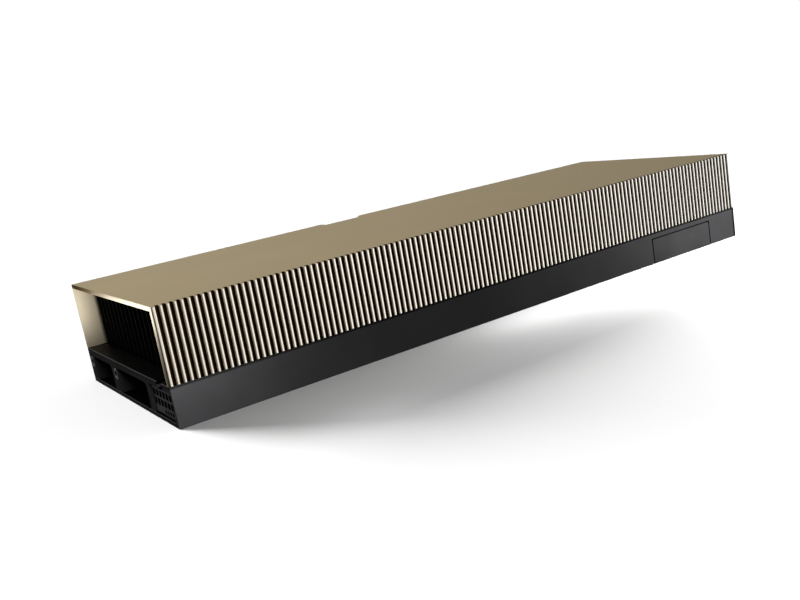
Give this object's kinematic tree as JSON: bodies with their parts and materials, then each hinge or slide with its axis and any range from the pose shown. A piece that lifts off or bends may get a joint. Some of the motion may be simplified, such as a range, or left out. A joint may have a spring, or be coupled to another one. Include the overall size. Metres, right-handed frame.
{
  "type": "passive accelerator card",
  "caption": "Dual-slot server accelerator card cooled by chassis airflow: ribbed gold shroud over an open fin duct, black base with circuit board, edge connector and rear power socket.",
  "frame": {"origin": "middle of the card's box, on the surface it lies on (outer face of the backplate)", "axes": "+X along the card from the air inlet and power socket end to the bracket end, +Y from the ribbed front edge to the edge connector, +Z from the backplate to the top of the shroud"},
  "size_m": [0.2676, 0.1112, 0.038],
  "materials": {
    "gold_anodised": "champagne gold anodised, fine bead blast, satin",
    "black_frame": "black satin paint on an aluminium casting",
    "black_cover": "black moulded plastic, satin",
    "black_anodised": "black anodised sheet",
    "black_steel": "black powder coat on steel",
    "copper": "bare copper",
    "board": "black solder mask on glass epoxy",
    "contact_gold": "gold plate",
    "package": "green substrate",
    "silicon": "polished silicon",
    "chip_black": "black moulding compound",
    "pad_grey": "soft thermal pad",
    "ferrite": "pressed ferrite, matte",
    "can": "drawn aluminium can",
    "nylon_black": "black glass-filled nylon",
    "tin": "tin plate",
    "insert_dark": "dark nickel plated steel",
    "screw_black": "black oxide steel",
    "screw_steel": "zinc plated steel",
    "film": "black polyester film"
  },
  "bodies": {
    "root": {"shroud": "gold_anodised", "base_frame": "black_frame", "bridge_cover": "black_cover", "heatsink_base": "black_anodised", "cooling_fins": "black_anodised", "vapour_chamber": "copper", "backplate": "black_anodised", "insulating_film": "film", "circuit_board": "board", "edge_contacts": "contact_gold", "gpu_package": "package", "gpu_die": "silicon", "memory_chips": "chip_black", "memory_chips_back": "chip_black", "memory_pads": "pad_grey", "power_inductors": "ferrite", "power_stages": "chip_black", "capacitors": "chip_black", "inductor_pads": "pad_grey", "bulk_capacitors": "can", "input_chokes": "ferrite", "controller_chips": "chip_black", "power_connector": "nylon_black", "power_pins": "tin", "sense_pins": "tin", "rear_inserts": "insert_dark", "board_standoffs": "screw_steel", "board_spacers": "screw_steel", "backplate_screws": "screw_black", "gpu_screws": "screw_steel", "gpu_brace": "screw_steel", "end_plate": "black_steel", "end_plate_screws": "screw_black", "shroud_screws": "screw_black"}
  },
  "joints": []
}
